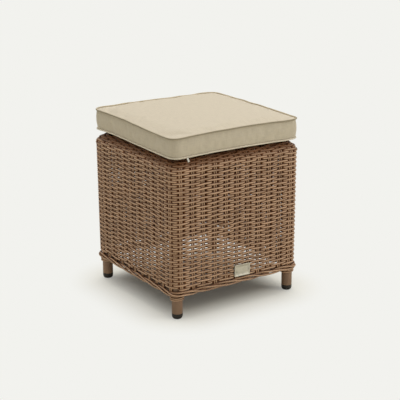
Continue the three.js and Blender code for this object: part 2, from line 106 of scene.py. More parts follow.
# How far each seam drifts up or down round the cushion: the turn, 0 to 4 from the front left, and the rise.
UPPER_DRIFT = (
    (0.0, -2.4), (0.1, -1.2), (0.3, -0.8), (0.6, -1.0), (0.75, -3.0), (0.95, -6.0), (1.3, -3.0),
    (1.6, -3.5), (1.95, -6.0), (2.3, -3.5), (2.6, -0.5), (2.95, -0.5), (3.2, 0.0), (3.35, 0.5),
    (3.45, -1.5), (3.6, -3.2), (3.75, -5.0), (3.9, -5.4),
)
LOWER_DRIFT = (
    (0.0, 3.4), (0.3, 3.4), (0.6, 2.4), (0.8, 0.4), (0.95, -1.0), (1.15, 0.5), (1.45, 3.0),
    (1.95, 1.0), (2.45, 4.0), (2.95, 2.8), (3.1, 5.4), (3.2, 6.4), (3.35, 4.8), (3.5, 3.2),
    (3.65, 3.4), (3.8, 1.8), (3.95, 3.0),
)


def linear(code):
    """Linear colour of an sRGB hex value."""
    parts = [int(code[i:i + 2], 16) / 255 for i in (1, 3, 5)]
    return tuple(c / 12.92 if c <= 0.04045 else ((c + 0.055) / 1.055) ** 2.4 for c in parts) + (1.0,)


# Settings


def number(name, description, default, unit="NONE"):
    return FloatProperty(name=name, description=description, default=default, min=0, unit=unit)


def length(name, description, millimetres):
    return number(name, description, millimetres * MM, "LENGTH")


def count(name, description, default, least=1):
    return IntProperty(name=name, description=description, default=default, min=least)


def tint(name, description, code):
    return FloatVectorProperty(
        name=name, description=description, default=linear(code), size=4, min=0, max=1, subtype="COLOR"
    )


class OttomanWeave(bpy.types.PropertyGroup):
    strand: length("Strand", "Height of the pressed round wicker strand", 5.8)
    strand_depth: length("Strand depth", "Thickness of the strand through the wall", 5.1)
    course: length("Course", "Rise of the strand in one turn round the body", 5.85)
    pairs: count("Stake pairs", "Upright pairs round the body, an odd number", 45, 3)
    pair_gap: length("Pair spacing", "From one stake of a pair to the other", 5.7)
    stake_width: length("Stake width", "Width of an upright stake", 5.0)
    stake_depth: length("Stake depth", "Thickness of an upright stake", 2.8)
    depth: length("Weave depth", "How far the strand goes in and out of the wall", 5.4)
    wander: length("Wander", "How far hand weaving strays from straight courses", 1.3)
    border_rod: length("Border rod", "Thickness of a strand in the border", 5.4)
    border_twists: count("Border twists", "Twists of the border round the body", 8)
    collar_rod: length("Collar strand", "Thickness of the strand wound round each leg", 4.2)
    collar_turns: count("Collar turns", "Turns of strand round each leg", 2)
    collar_pitch: length("Collar pitch", "Rise of one turn of a collar", 4.8)
    light: tint("Light wicker", "Lighter tone along the strand", "#dab391")
    dark: tint("Dark wicker", "Darker tone along the strand", "#734e2e")


class OttomanFrame(bpy.types.PropertyGroup):
    powder: tint("Powder coat", "Colour of the coated tubes", "#8f715a")
    cap: tint("Foot cap", "Colour of the moulded foot caps", "#1f1b18")
    plate: tint("Plate", "Colour of the metal plate", "#cac5b7")


class OttomanCushion(bpy.types.PropertyGroup):
    cover: tint("Cover", "Colour of the canvas cover", "#d2c7b2")
    # Both pipings are the cover's canvas: the upper is a little darker as painted shade, the lower paler as
    # painted light.
    piping: tint("Upper piping", "Colour of the piping round the top", "#cbbea3")
    lower_piping: tint("Lower piping", "Colour of the piping round the base", "#e6dcc8")
    cord: length("Piping cord", "Thickness of the piping", 4.0)
    pressure: number("Filling pressure", "How hard the filling pushes", 3.5)
    swell: length("Swell limit", "The most that any point of the cover may move as it fills", 7.0)
    thread: length("Thread spacing", "Spacing of the canvas threads as drawn", 1.3)


class OttomanStage(bpy.types.PropertyGroup):
    backdrop: tint("Backdrop", "Colour of the floor and backdrop", "#f2f2ee")
    overhead: number("Overhead lamp", "Power of the softbox above", 79, "POWER")
    side: number("Side lamp", "Power of the softbox at the right", 27, "POWER")
    ambient: number("Ambient", "Strength of the light from all round", 0.375)
    distance: length("Camera distance", "From the camera to the object", 3291)


def in_mm(settings, *names):
    """Some lengths of a settings group, in millimetres."""
    return [getattr(settings, name) / MM for name in names]


# Node materials


def connect(tree, value, socket):
    """Feeds a socket from another or from a node's first output, or else sets it to the value."""
    if isinstance(value, bpy.types.Node):
        value = value.outputs[0]
    if isinstance(value, bpy.types.NodeSocket):
        tree.links.new(value, socket)
    else:
        socket.default_value = value


def add(tree, kind, inputs=None, ramp=(), **settings):
    """Adds a shader node with its settings, what feeds its inputs, and the stops of its colour ramp."""
    node = tree.nodes.new("ShaderNode" + kind)
    for name, value in settings.items():
        setattr(node, name, value)
    for key, value in (inputs or {}).items():
        connect(tree, value, node.inputs[key])
    for index, (place, colour) in enumerate(ramp):
        stops = node.color_ramp.elements
        stop = stops[index] if index < len(stops) else stops.new(place)
        stop.position, stop.color = place, colour
    return node


def blank(name):
    """A new material, and the function that adds nodes to it."""
    material = bpy.data.materials.new(name)
    material.use_nodes = True
    return material, partial(add, material.node_tree)


def finish(material, **feeds):
    """Feeds the surface shader's inputs, and sets those that are the same all over on its own sockets."""
    tree = material.node_tree
    shader = tree.nodes["Principled BSDF"]
    for key, value in feeds.items():
        connect(tree, value, shader.inputs[key.replace("_", " ")])
    return material


def patterned(material, tones, rough, relief, **even):
    """A finish made of patterns: the colour from one and the stops of a ramp, the roughness from one and its
    two ends, and the relief from one, its strength and its depth in millimetres."""
    node = partial(add, material.node_tree)
    colour = node("ValToRGB", {"Fac": tones[0]}, ramp=tones[1])
    matt = node("MapRange", {"Value": rough[0], "To Min": rough[1], "To Max": rough[2]})
    normal = node("Bump", {"Height": relief[0], "Strength": relief[1], "Distance": relief[2] * MM})
    return finish(material, Base_Color=colour, Roughness=matt, Normal=normal, **even)


def shade(colour, factor):
    """A lighter or darker tone of a colour."""
    return tuple(min(1, c * factor) for c in colour[:3]) + (1.0,)


def per(size):
    """Scale of a texture in object space whose features are this many millimetres across."""
    return 1 / (size * MM)


# Features per millimetre along and across a strand. Mottles are 56 mm long and 3 mm wide. Die lines are
# 0.5 mm apart, coarser than real ones, so that they show.
MOTTLES = (0.018, 0.35, 0.35)
DIE_LINES = (0.03, 1.9, 1.9)


def wicker():
    """Polyethylene wicker, extruded: satin, mottled along its length, with die lines. Shade is painted on
    where it is sunk, on its flanks and under the cushion.
    """
    material, node = blank("Polyethylene wicker, extruded")
    weave = bpy.context.scene.ottoman_weave
    light, dark = tuple(weave.light), tuple(weave.dark)
    lay = node("Attribute", attribute_name="lay").outputs["Vector"]
    along = node("Mapping", {"Vector": lay, "Scale": MOTTLES})
    tone = node("TexNoise", {"Vector": along, "Scale": 1.0, "Detail": 3.0, "Roughness": 0.6})
    drawn = node("Mapping", {"Vector": lay, "Scale": DIE_LINES})
    lines = node("TexNoise", {"Vector": drawn, "Scale": 1.0, "Detail": 2.0, "Roughness": 0.5})
    both = node("Mix", {"Factor": 0.4, "A": tone, "B": lines})
    mottled = node("ValToRGB", {"Fac": both}, ramp=((0.36, dark), (0.5, shade(light, 0.8)), (0.64, light)))
    # Painted shade: darker colour and less specular where sunk or under the cushion (X) and on the flanks (Y).
    recess = node("Attribute", attribute_name="recess").outputs["Vector"]
    parts = node("SeparateXYZ", {"Vector": recess})
    sunk = parts.outputs["X"]
    flank = node("MapRange", {"Value": parts.outputs["Y"], "From Min": 0.4, "To Max": 0.75})
    deep = node("Math", {0: sunk, 1: flank}, operation="MAXIMUM")
    # The stops of the painted shade, from none to the deepest.
    painted_shade_stops = ((0.1, linear("#ffffff")), (0.55, linear("#9d7954")), (1.0, linear("#563717")))
    painted_shade = node("ValToRGB", {"Fac": deep}, ramp=painted_shade_stops)
    wear_and_shade = node("Mix", {0: 1.0, 6: mottled, 7: painted_shade}, data_type="RGBA", blend_type="MULTIPLY").outputs[2]
    rough = node("MapRange", {"Value": tone, "To Min": 0.36, "To Max": 0.56})
    gloss = node("MapRange", {"Value": sunk, "To Min": 0.5, "To Max": 0.05})
    normal = node("Bump", {"Height": lines, "Strength": 0.35, "Distance": 0.4 * MM})
    return finish(
        material, Base_Color=wear_and_shade, Roughness=rough, Specular_IOR_Level=gloss, Normal=normal, IOR=1.5
    )


def powder_coat():
    """Aluminium tube, powder coated: satin brown with the soft pebble of baked powder."""
    material, node = blank("Aluminium tube, powder coated")
    colour = tuple(bpy.context.scene.ottoman_frame.powder)
    place = node("TexCoord").outputs["Object"]
    pebble = node("TexNoise", {"Vector": place, "Scale": per(1.6), "Detail": 2.0})
    cloud = node("TexNoise", {"Vector": place, "Scale": per(45), "Detail": 3.0})
    stops = ((0.35, shade(colour, 0.86)), (0.65, shade(colour, 1.08)))
    return patterned(material, (cloud, stops), (cloud, 0.36, 0.5), (pebble, 0.18, 0.4), IOR=1.5)


def cap_plastic():
    """Polypropylene, moulded: near black, with its mould's spark grain, scuffed paler near the sole. The grain
    is 1.1 mm wide, coarser than a real one, so that it shows."""
    material, node = blank("Polypropylene, moulded")
    colour = tuple(bpy.context.scene.ottoman_frame.cap)
    place = node("TexCoord").outputs["Object"]
    grain = node("TexVoronoi", {"Vector": place, "Scale": per(1.1)})
    scuff = node("TexNoise", {"Vector": place, "Scale": per(3.8), "Detail": 4.0, "Roughness": 0.7})
    height = node("SeparateXYZ", {"Vector": place}).outputs["Z"]
    low = node("MapRange", {"Value": height, "From Max": 5 * MM, "To Min": 0.75, "To Max": 0.0})
    wear_and_shade = node("Math", {0: low, 1: scuff}, operation="MULTIPLY")
    stops = ((0.2, colour), (0.55, shade(colour, 3.2)))
    return patterned(material, (wear_and_shade, stops), (scuff, 0.34, 0.58), (grain, 0.15, 0.3), IOR=1.49)


def brushed_plate():
    """Aluminium, brushed and lacquered: pale, with short level scratches under a satin film. They are 17 mm
    long and 0.38 mm wide, coarser than real ones, so that they show."""
    material, node = blank("Aluminium, brushed and lacquered")
    colour = tuple(bpy.context.scene.ottoman_frame.plate)
    place = node("TexCoord").outputs["Object"]
    stretch = node("Mapping", {"Vector": place, "Scale": (per(17), per(0.38), per(0.38))})
    brush = node("TexNoise", {"Vector": stretch, "Scale": 1.0, "Detail": 3.0})
    stain = node("TexNoise", {"Vector": place, "Scale": per(11), "Detail": 3.0})
    rim = node("Attribute", attribute_name="rim").outputs["Vector"]
    raised = node("SeparateXYZ", {"Vector": rim})
    both = node("Math", {0: raised, 1: 0.5, 2: stain}, operation="MULTIPLY_ADD")
    # The plate's sides, marked -1, get painted shade; the rim is a little lighter than the field.
    tones = ((0.05, 0.3), (0.4, 0.94), (0.65, 1.06), (0.95, 1.05))
    stops = [(stop, shade(colour, tone)) for stop, tone in tones]
    return patterned(material, (both, stops), (brush, 0.5, 0.68), (brush, 0.12, 0.2), Metallic=0.7)


# Features per millimetre of cloth. Slubs are 20 mm long and 1.4 mm wide, and the creases beside a seam are
# 9 mm apart and 50 mm long. The threads' own spacing is a setting, coarser than real, so that they show.
SLUB_LONG, SLUB_WIDE = 1 / 20, 0.7
CREASES = (0.11, 0.02, 1.0)
CORD_SHADE = "#2a2018"


def canvas(name, colour, thread, attribute, contrast, turn=0.0, pucker=False, outer=1.0):
    """A plain-woven canvas: two sets of slubby threads, matt, with a soft sheen from loose fibre. The threads
    follow the attribute, in millimetres. pucker gathers the cloth at its seams, and outer under 1 paints
    shade on the outer side of a cord."""
    material, node = blank(name)
    cloth = node("Attribute", attribute_name=attribute).outputs["Vector"]
    laid = node("Mapping", {"Vector": cloth, "Rotation": (0, 0, turn)})
    parts = node("SeparateXYZ", {"Vector": laid})
    waves, slubs = [], []
    for axis, size in (("X", (SLUB_LONG, SLUB_WIDE, 1.0)), ("Y", (SLUB_WIDE, SLUB_LONG, 1.0))):
        phase = node("Math", {0: parts.outputs[axis], 1: 2 * math.pi / thread}, operation="MULTIPLY")
        waves.append(node("Math", {0: phase}, operation="SINE"))
        slub = node("Mapping", {"Vector": laid, "Scale": size})
        slubs.append(node("TexNoise", {"Vector": slub, "Scale": 1.0, "Detail": 3.0}))
    check = node("Math", {0: waves[0], 1: waves[1]}, operation="MULTIPLY")
    slub = node("Mix", {"Factor": 0.5, "A": slubs[0], "B": slubs[1]})
    tone = node("Math", {0: check, 1: 0.06, 2: slub}, operation="MULTIPLY_ADD")
    stops = ((0.34, shade(colour, 1 - contrast)), (0.5, colour), (0.66, shade(colour, 1 + 0.6 * contrast)))
    base = node("ValToRGB", {"Fac": tone}, ramp=stops)
    if outer < 1:
        # Painted shade: the outer side of the cord is darkened towards CORD_SHADE.
        side = node("SeparateXYZ", {"Vector": cloth}).outputs["Y"]
        turned = node("MapRange", {"Value": side, "From Min": -0.4, "From Max": 1.4, "To Max": 1 - outer})
        base = node("Mix", {0: turned, 6: base, 7: linear(CORD_SHADE)}, data_type="RGBA").outputs[2]
    height = node("Math", {0: check, 1: 0.5, 2: slub}, operation="MULTIPLY_ADD")
    normal = node("Bump", {"Height": height, "Strength": 0.25, "Distance": 0.3 * MM})
    if pucker:
        seam = node("Attribute", attribute_name="seam").outputs["Vector"]
        stretched = node("Mapping", {"Vector": seam, "Scale": CREASES})
        crease = node("TexNoise", {"Vector": stretched, "Scale": 1.0, "Detail": 2.0})
        away = node("SeparateXYZ", {"Vector": seam}).outputs["Y"]
        ends = {"From Min": 1.0, "From Max": 16.0, "To Min": 1.0, "To Max": 0.0}
        near = node("MapRange", {"Value": away, **ends})
        gathers = node("Math", {0: crease, 1: near}, operation="MULTIPLY")
        normal = node("Bump", {"Height": gathers, "Strength": 0.5, "Distance": 4 * MM, "Normal": normal})
    rough = node("MapRange", {"Value": slub, "To Min": 0.96, "To Max": 0.84})
    sheen = {"Sheen_Weight": 0.15, "Sheen_Roughness": 0.5}
    return finish(material, Base_Color=base, Roughness=rough, Normal=normal, IOR=1.45, **sheen)


def satin_ribbon():
    """Polyester satin ribbon, woven: white, with a soft shine across its threads, drawn coarser than real."""
    material, node = blank("Polyester satin ribbon, woven")
    place = node("TexCoord").outputs["Object"]
    stretch = node("Mapping", {"Vector": place, "Scale": (per(0.33), per(0.33), per(3.3))})
    threads = node("TexNoise", {"Vector": stretch, "Scale": 1.0, "Detail": 2.0})
    stops = ((0.3, linear("#d9d6cd")), (0.7, linear("#f1efe8")))
    return patterned(material, (threads, stops), (threads, 0.48, 0.32), (threads, 0.1, 0.2), IOR=1.5)


def foam():
    """Polyurethane foam, cut: pale cream, with open cells 2 mm wide, coarser than real."""
    material, node = blank("Polyurethane foam, cut")
    place = node("TexCoord").outputs["Object"]
    cells = node("TexVoronoi", {"Vector": place, "Scale": per(2)})
    stops = ((0.1, linear("#b9a970")), (0.6, linear("#ece2b4")))
    return patterned(material, (cells, stops), (cells, 1.0, 0.85), (cells, 0.5, 1.0), IOR=1.5)


def zip_metal():
    """Zinc alloy, nickel plated: bright grey, tumbled smooth, a little duller in random patches."""
    material, node = blank("Zinc alloy, nickel plated")
    place = node("TexCoord").outputs["Object"]
    stain = node("TexNoise", {"Vector": place, "Scale": per(2.5), "Detail": 3.0})
    dents = node("TexNoise", {"Vector": place, "Scale": per(1.1), "Detail": 1.0})
    stops = ((0.3, linear("#8f8c85")), (0.7, linear("#b9b6af")))
    return patterned(material, (stain, stops), (stain, 0.2, 0.38), (dents, 0.15, 0.2), Metallic=1.0)


def coil_nylon():
    """Nylon zip coil, extruded: sand coloured, slightly glossy where the turns catch the light."""
    material, node = blank("Nylon zip coil, extruded")
    lay = node("Attribute", attribute_name="lay").outputs["Vector"]
    # Tones change every 2.5 mm along the coil, whose lay is in millimetres.
    tone = node("TexNoise", {"Vector": lay, "Scale": 1 / 2.5, "Detail": 2.0})
    stops = ((0.3, linear("#a89a7e")), (0.7, linear("#c4b79c")))
    return patterned(material, (tone, stops), (tone, 0.28, 0.42), (tone, 0.1, 0.1), IOR=1.53)


# Shapes


def make_piece(name, points, faces, material, body, slot, stands_for=(), attributes=None):
    """Makes a smooth mesh piece from points in millimetres, and hands it to its CAD body."""
    mesh = bpy.data.meshes.new(name)
    mesh.from_pydata((np.asarray(points) * MM).tolist(), [], faces)
    for key, values in (attributes or {}).items():
        layer = mesh.attributes.new(key, "FLOAT_VECTOR", "POINT")
        layer.data.foreach_set("vector", np.asarray(values, np.float32).ravel())
    mesh.materials.append(material)
    mesh.shade_smooth()
    mesh.validate()
    piece = bpy.data.objects.new(name, mesh)
    bpy.context.collection.objects.link(piece)
    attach(piece, body)
    if stands_for:
        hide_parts(*stands_for)
    return piece


def skin(rings, sides, closed=False, start=0):
    """Faces through rings of points numbered from start, closed on themselves or with both ends capped."""
    grid = start + np.arange(rings * sides).reshape(rings, sides)
    low, high = (grid, np.roll(grid, -1, 0)) if closed else (grid[:-1], grid[1:])
    quads = np.stack([low, np.roll(low, -1, 1), np.roll(high, -1, 1), high], -1).reshape(-1, 4).tolist()
    return quads if closed else quads + [grid[0, ::-1].tolist(), grid[-1].tolist()]


def lathe(profile, place):
    """A closed skin turned round a leg's upright axis, from half widths and heights."""
    centre_x, centre_y = (side * LEG_PLACE for side in CORNERS[place])
    turns = 2 * np.pi * np.arange(TURNED_SIDES) / TURNED_SIDES
    points = [
        (centre_x + half * math.cos(turn), centre_y + half * math.sin(turn), height)
        for half, height in profile for turn in turns
    ]
    return points, skin(len(profile), TURNED_SIDES, closed=True)


def normalised(vectors):
    return vectors / np.maximum(np.linalg.norm(vectors, axis=-1, keepdims=True), 1e-9)


def sweep(paths, outs, wide, deep, sides, closed=False, sunk=0.0):
    """Tubes along paths, deep along outs and wide across them: points, faces, and the material's attributes.
    The lay is the run along a tube and the place across it, and the recess is how far a point is sunk and
    turned sideways, which the wicker paints as shade. sunk is one number, or a list with an array for
    each path."""
    points, faces, lays, recesses = [], [], [], []
    turn = 2 * np.pi * np.arange(sides) / sides
    apart = 977.0
    for index, (path, out) in enumerate(zip(paths, outs)):
        ahead = np.roll(path, -1, 0) - np.roll(path, 1, 0) if closed else np.gradient(path, axis=0)
        ahead = normalised(ahead)
        across = normalised(np.cross(ahead, out))
        up = np.cross(across, ahead)
        high, side = np.cos(turn) * deep / 2, np.sin(turn) * wide / 2
        ring = path[:, None] + up[:, None] * high[None, :, None] + across[:, None] * side[None, :, None]
        run = np.concatenate([[0], np.cumsum(np.linalg.norm(np.diff(path, axis=0), axis=1))])
        lay = np.empty(ring.shape)
        lay[..., 0] = (run + apart * index)[:, None]
        lay[..., 1], lay[..., 2] = high, side
        recess = np.zeros(ring.shape)
        recess[..., 0] = np.reshape(sunk[index] if isinstance(sunk, list) else sunk, (-1, 1))
        recess[..., 1] = np.abs(np.sin(turn))
        faces += skin(len(path), sides, closed, sum(map(len, points)))
        for store, values in ((points, ring), (lays, lay), (recesses, recess)):
            store.append(values.reshape(-1, 3))
    return np.concatenate(points), faces, {"lay": np.concatenate(lays), "recess": np.concatenate(recesses)}


def round_square(turn, half, corner, own_half, own_corner):
    """Places and outward directions on a rounded square. turn runs 0 to 4 from the left end of the front,
    evenly along an outline of own_half and own_corner. half and corner are those wanted at each place."""
    straight, arc = 2 * (own_half - own_corner), math.pi / 2 * own_corner
    whole = straight + arc
    side, rest = np.divmod(np.asarray(turn) * whole, whole)
    along = np.minimum(rest, straight) / straight * 2 - 1
    bend = np.maximum(rest - straight, 0) / own_corner
    x = along * (half - corner) + corner * np.sin(bend)
    y = -(half - corner) - corner * np.cos(bend)
    nx, ny = np.sin(bend), -np.cos(bend)
    cos, sin = np.cos(side * math.pi / 2), np.sin(side * math.pi / 2)
    return x * cos - y * sin, x * sin + y * cos, nx * cos - ny * sin, nx * sin + ny * cos


def ripple(across, up, seed, reach):
    """Smooth unevenness from -1 to 1 over a face, the same each run; across is a share of the way round."""
    rng = np.random.default_rng(seed)
    total = np.zeros(np.broadcast(across, up).shape)
    for _ in range(7):
        round_waves = rng.integers(3, 26)
        up_waves = rng.uniform(-1, 1) / reach
        total += np.sin(2 * np.pi * (round_waves * across + up_waves * up) + rng.uniform(0, 2 * np.pi))
    return total / 4


def smooth_step(low, high, value):
    share = np.clip((value - low) / (high - low), 0, 1)
    return share * share * (3 - 2 * share)


def smoothed(values, width, mode):
    """Values averaged over a soft window of this odd width, with their ends carried on as the mode says."""
    window = np.hanning(width) / np.hanning(width).sum()
    return np.convolve(np.pad(values, width // 2, mode=mode), window, "valid")


# Woven body


def wall_profile():
    """Distance up the wall and over its shoulder, with half width, height, corner and outward direction."""
    rows, bends = 60, 20
    bend = np.linspace(0, math.pi / 2, bends)
    half = np.concatenate([
        np.linspace(WALL_FOOT[0], WALL_TOP[0], rows), SHOULDER_HALF - SHOULDER_WIDTH * (1 - np.cos(bend)),
        [SHOULDER_EDGE],
    ])
    height = np.concatenate([
        np.linspace(WALL_FOOT[1], WALL_TOP[1], rows), SHOULDER_FOOT + SHOULDER_RISE * np.sin(bend),
        [SHOULDER_FOOT + SHOULDER_RISE],
    ])
    corner = np.concatenate([
        np.full(rows, WALL_CORNER), np.linspace(WALL_CORNER, SHOULDER_CORNER, bends), [SHOULDER_CORNER - 6]
    ])
    reach = np.concatenate([[0], np.cumsum(np.hypot(np.diff(half), np.diff(height)))])
    even = np.arange(0, reach[-1], 1.0)
    half, height, corner = (np.interp(even, reach, values) for values in (half, height, corner))
    lean, climb = (smoothed(np.gradient(values), 9, "edge") for values in (half, height))
    size = np.hypot(lean, climb)
    out, up = climb / size, -lean / size
    return {"reach": even, "half": half, "height": height, "corner": corner, "out": out, "up": up}


def on_wall(profile, turn, reach, depth):
    """Points and outward directions at a depth inside the wall's outer face."""
    keys = ("half", "height", "corner", "out", "up")
    half, height, corner, out, up = (np.interp(reach, profile["reach"], profile[key]) for key in keys)
    inset = depth * out
    x, y, nx, ny = round_square(
        turn, half - inset, np.maximum(corner - inset, 1.0), WALL_TOP[0], WALL_CORNER
    )
    points = np.stack([x, y, height - depth * up], -1)
    return points, np.stack([nx * out, ny * out, np.broadcast_to(up, nx.shape)], -1)


def room_inside(points, free):
    """How far the strand may swing in and out: less beside the legs, and where the rails are."""
    tight, legs, low_rail, high_rail, leg_ease, rail_ease = 3.0, 150.0, 90.0, 380.0, 12.0, 6.0
    x, y, z = np.abs(points[:, 0]), np.abs(points[:, 1]), points[:, 2]
    beside = np.clip((np.minimum(x, y) - legs) / leg_ease, 0, 1)
    at_rail = np.clip((low_rail - z) / rail_ease, 0, 1) + np.clip((z - high_rail) / rail_ease, 0, 1)
    return free + (tight - free) * np.clip(np.maximum(beside, at_rail), 0, 1)


def sheltered(points):
    """How much shade is painted on the weave where it turns in under the cushion."""
    darkest, lit, covered = 0.5, WALL_TOP[1], 412.0
    return darkest * smooth_step(lit, covered, points[:, 2])


def stake_turn(pair, pairs):
    """The turn, 0 to 4, of a place counted in pairs from the front's first; spacing by hand is uneven."""
    stray = np.random.default_rng(8).uniform(-0.045, 0.045, pairs)
    uneven = np.interp(pair, np.arange(pairs), stray, period=pairs)
    return 4 * ((pair + uneven) / pairs - STAKE_OFFSET / WALL_ROUND) % 4


def weave_wall(weave):
    """The one unbroken strand that climbs round the body over and under the pairs: its path, its outward
    directions and how much shade is painted on each point, where it is sunk behind a pair and under the
    cushion."""
    strand, thick, course, room, stray = in_mm(weave, "strand", "strand_depth", "course", "depth", "wander")
    profile = wall_profile()
    low, high = strand / 2 + 0.4, profile["reach"][-1] - strand / 2
    passes = int((high - low) / course * weave.pairs)
    over, under = (-0.22, 0.0, 0.22, 0.5), (-0.4, -0.3, -0.2, -0.1, 0.0, 0.1, 0.2, 0.3, 0.4, 0.5)
    pair = np.array([index + step for index in range(passes) for step in (over, under)[index % 2]])
    beside = np.abs(pair % 2 - 1)
    # sunk marks where the strand runs behind a pair; the wicker paints shade there.
    dip, sunk = 1 - smooth_step(0.14, 0.5, beside), 1 - smooth_step(0.22, 0.42, beside)
    turn = stake_turn(pair, weave.pairs)
    climb = low + pair / weave.pairs * course
    reach = climb + stray * (ripple(turn / 4, climb, 3, 90) + 0.25 * ripple(turn / 4, climb, 5, 7))
    # Low in the wall the strand rides up behind a pair, which opens the weave. Higher up it drops, which
    # closes it.
    droop = 0.75 * smooth_step(0, 80, climb) - 1.4 * smooth_step(150, 175, climb)
    reach = np.clip(reach + droop * dip, low, high)
    points, _ = on_wall(profile, turn, reach, np.full(len(pair), thick / 2))
    points, outs = on_wall(profile, turn, reach, thick / 2 + room_inside(points, room) * dip)
    return points, outs, np.maximum(sunk, sheltered(points))


def wall_stakes(weave):
    """Upright stakes in pairs, from behind the border up over the shoulder."""
    gap, thick, room, stray = in_mm(weave, "pair_gap", "strand_depth", "depth", "wander")
    profile = wall_profile()
    tuck, step = 3.0, 9.0
    reach = np.arange(-tuck, profile["reach"][-1] - tuck, step)
    below = np.minimum(reach, 0)
    paths, outs, sunk = [], [], []
    for pair in range(weave.pairs):
        place = pair / weave.pairs
        sway = stray * ripple(place, reach, 11, 120)
        for side in (-1, 1):
            shift = side * gap / 2 + sway + 0.3 * ripple(place + side, reach, 17, 60)
            turn = stake_turn(pair + shift / WALL_ROUND * weave.pairs, weave.pairs)
            points, _ = on_wall(profile, turn, reach, np.full(len(reach), thick / 2))
            points, out = on_wall(profile, turn, reach, (thick + room_inside(points, room)) / 2 - 0.4)
            points[:, 2] += below
            paths.append(points)
            outs.append(out)
            # Painted shade: a little on every stake, more under the cushion.
            sunk.append(np.maximum(0.15, sheltered(points)))
    return sweep(paths, outs, *in_mm(weave, "stake_width", "stake_depth"), 8, sunk=sunk)


class OTTOMAN_OT_woven_wall(bpy.types.Operator):
    """Weaves the side wall and its shoulder from one strand over pairs of stakes"""

    bl_idname = "ottoman.woven_wall"
    bl_label = "Woven Wall"

    def execute(self, context):
        weave = context.scene.ottoman_weave
        material = wicker()
        path, outs, sunk = weave_wall(weave)
        half = len(path) // 2
        for name, part in (("lower", slice(0, half + 1)), ("upper", slice(half, None))):
            size = in_mm(weave, "strand", "strand_depth")
            points, faces, lay = sweep([path[part]], [outs[part]], *size, 8, sunk=[sunk[part]])
            make_piece(f"woven_wall_{name}", points, faces, material, "body", "wicker", ("woven_wall",), lay)
        points, faces, lay = wall_stakes(weave)
        make_piece("woven_wall_stakes", points, faces, material, "body", "wicker", (), lay)
        return {"FINISHED"}


class OTTOMAN_OT_woven_seat(bpy.types.Operator):
    """Weaves the seat panel inside the shoulder"""

    bl_idname = "ottoman.woven_seat"
    bl_label = "Woven Seat"

    def execute(self, context):
        weave = context.scene.ottoman_weave
        strand, deep, course, gap = in_mm(weave, "strand", "strand_depth", "course", "pair_gap")
        half = SEAT_HIGH.x
        middle = (SEAT_LOW.z + SEAT_HIGH.z) / 2
        swing = (SEAT_HIGH.z - SEAT_LOW.z - deep) / 2
        spaces, row_steps, stake_steps = 10, 71, 36
        pitch = 2 * half / spaces
        reach = half - strand / 2
        rows = round(2 * reach / course) + 1
        up = (0.0, 0.0, 1.0)
        paths, outs, sunk = [], [], []
        for row in range(rows):
            x = np.linspace(0.5 - half, half - 0.5, row_steps)
            straight = (2 * row / (rows - 1) - 1) * reach
            y = np.clip(straight + 0.7 * ripple(x / 700, straight, 23, 60), -reach, reach)
            wave = np.clip(1.3 * np.cos(np.pi * x / pitch), -1, 1) * (-1) ** row
            paths.append(np.stack([x, y, middle + swing * wave], -1))
            outs.append(np.broadcast_to(up, (len(x), 3)))
            # Painted shade where the strand passes under a pair.
            sunk.append((1 - wave) / 2)
        points, faces, lay = sweep(paths, outs, strand, deep, 6, sunk=sunk)
        paths, outs = [], []
        for pair in range(-spaces // 2, spaces // 2 + 1):
            for side in (-1, 1):
                y = np.linspace(1 - half, half - 1, stake_steps)
                x = np.full(len(y), np.clip(pair * pitch, 6 - half, half - 6) + side * gap / 2)
                paths.append(np.stack([x, y, np.full(len(y), middle)], -1))
                outs.append(np.broadcast_to(up, (len(y), 3)))
        size = in_mm(weave, "stake_width", "stake_depth")
        # The stakes lie inside the panel and get painted shade all along.
        stakes, more, under = sweep(paths, outs, *size, 8, sunk=0.3)
        faces += [[corner + len(points) for corner in face] for face in more]
        lay = {key: np.concatenate([lay[key], under[key]]) for key in lay}
        points = np.concatenate([points, stakes])
        make_piece("woven_seat_panel", points, faces, wicker(), "body", "wicker", ("woven_seat",), lay)
        return {"FINISHED"}


class OTTOMAN_OT_border(bpy.types.Operator):
    """Twists three strands into the border round the wall's lower edge"""

    bl_idname = "ottoman.border"
    bl_label = "Border"

    def execute(self, context):
        weave = context.scene.ottoman_weave
        rod, = in_mm(weave, "border_rod")
        thick, corner, strands, steps = 9.6, 19.6, 3, 360
        high, deep = (BORDER_HIGH.z - BORDER_LOW.z - rod) / 2, (thick - rod) / 2
        centre, middle = (BORDER_HIGH.z + BORDER_LOW.z) / 2, BORDER_HIGH.x - thick / 2
        turn = np.arange(0, 4, 4 / steps)
        paths, outs, sunk = [], [], []
        for index in range(strands):
            twist = turn / 4 * weave.border_twists + index / strands
            angle = 2 * np.pi * twist + 0.35 * ripple(turn / 4, 0.0, 31 + index, 50)
            out = deep * np.sin(angle)
            x, y, nx, ny = round_square(turn, middle + out, corner + out, middle, corner)
            height = centre + high * np.cos(angle) + 0.3 * ripple(turn / 4, 0.0, 37, 50)
            paths.append(np.stack([x, y, height], -1))
            outs.append(np.stack([nx, ny, 0 * nx], -1))
            # Painted shade where each strand turns in towards the wall.
            sunk.append((1 - np.sin(angle)) / 6)
        points, faces, lay = sweep(paths, outs, rod, rod, 10, closed=True, sunk=sunk)
        make_piece("border_rope", points, faces, wicker(), "body", "wicker", ("border_braid",), lay)
        return {"FINISHED"}


